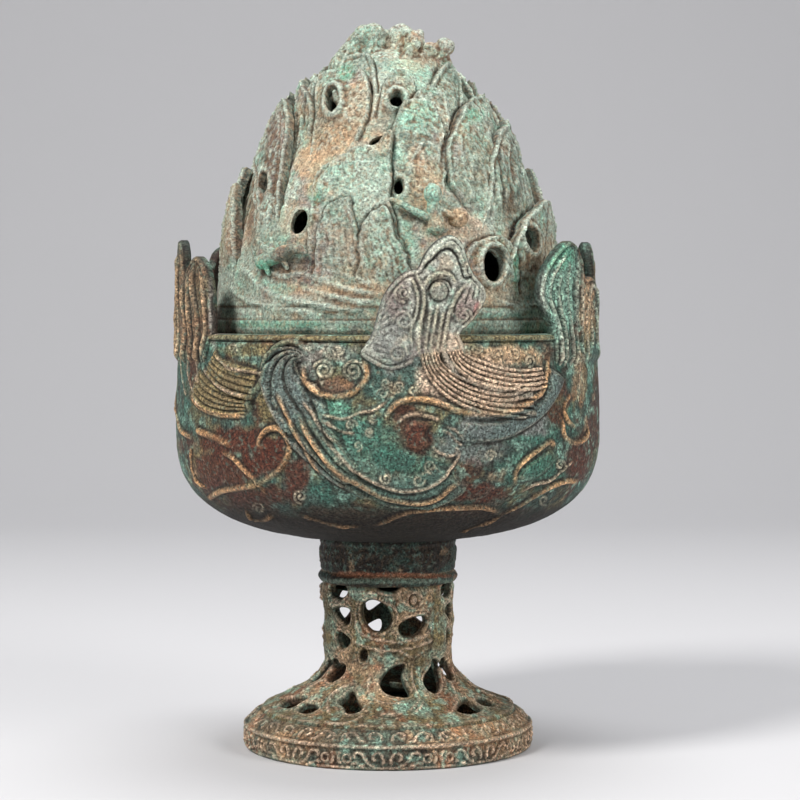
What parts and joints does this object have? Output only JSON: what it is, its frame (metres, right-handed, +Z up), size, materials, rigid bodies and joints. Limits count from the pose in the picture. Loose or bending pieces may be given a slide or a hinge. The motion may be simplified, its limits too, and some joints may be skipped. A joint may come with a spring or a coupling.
{
  "type": "hill censer",
  "caption": "Footed bronze hill censer: openwork dragon stem, round bowl with wave crests on its rim, and a lift-off lid of mountain peaks with smoke holes.",
  "frame": {"origin": "centre of the foot ring's underside, on the surface the censer stands on", "axes": "+Z up along the censer's axis, -Y towards the viewer of the picture, +X to the viewer's right"},
  "size_m": [0.164, 0.1658, 0.28],
  "materials": {
    "foot_bronze": "cast bronze with a tan and green patina",
    "bowl_bronze": "cast bronze with a dark green and red-brown patina",
    "lid_bronze": "cast bronze with a pale malachite patina",
    "rivet_iron": "dark hammered iron"
  },
  "bodies": {
    "stand": {"foot_ring": "foot_bronze", "dragon_stem": "foot_bronze", "stem_collar": "bowl_bronze", "rivet_washer": "bowl_bronze", "rivet": "rivet_iron", "bowl": "bowl_bronze", "wave_crest_1": "bowl_bronze", "wave_crest_2": "bowl_bronze", "wave_crest_3": "bowl_bronze", "wave_crest_4": "bowl_bronze", "wave_crest_5": "bowl_bronze", "wave_crest_6": "bowl_bronze"},
    "lid": {"lid": "lid_bronze", "summit": "lid_bronze", "hunter": "lid_bronze", "beast": "lid_bronze"}
  },
  "joints": [
    {"name": "lid_lift", "type": "slide", "parent": "stand", "child": "lid", "axis": [0, 0, 1], "range_m": [0, 0.12]}
  ]
}
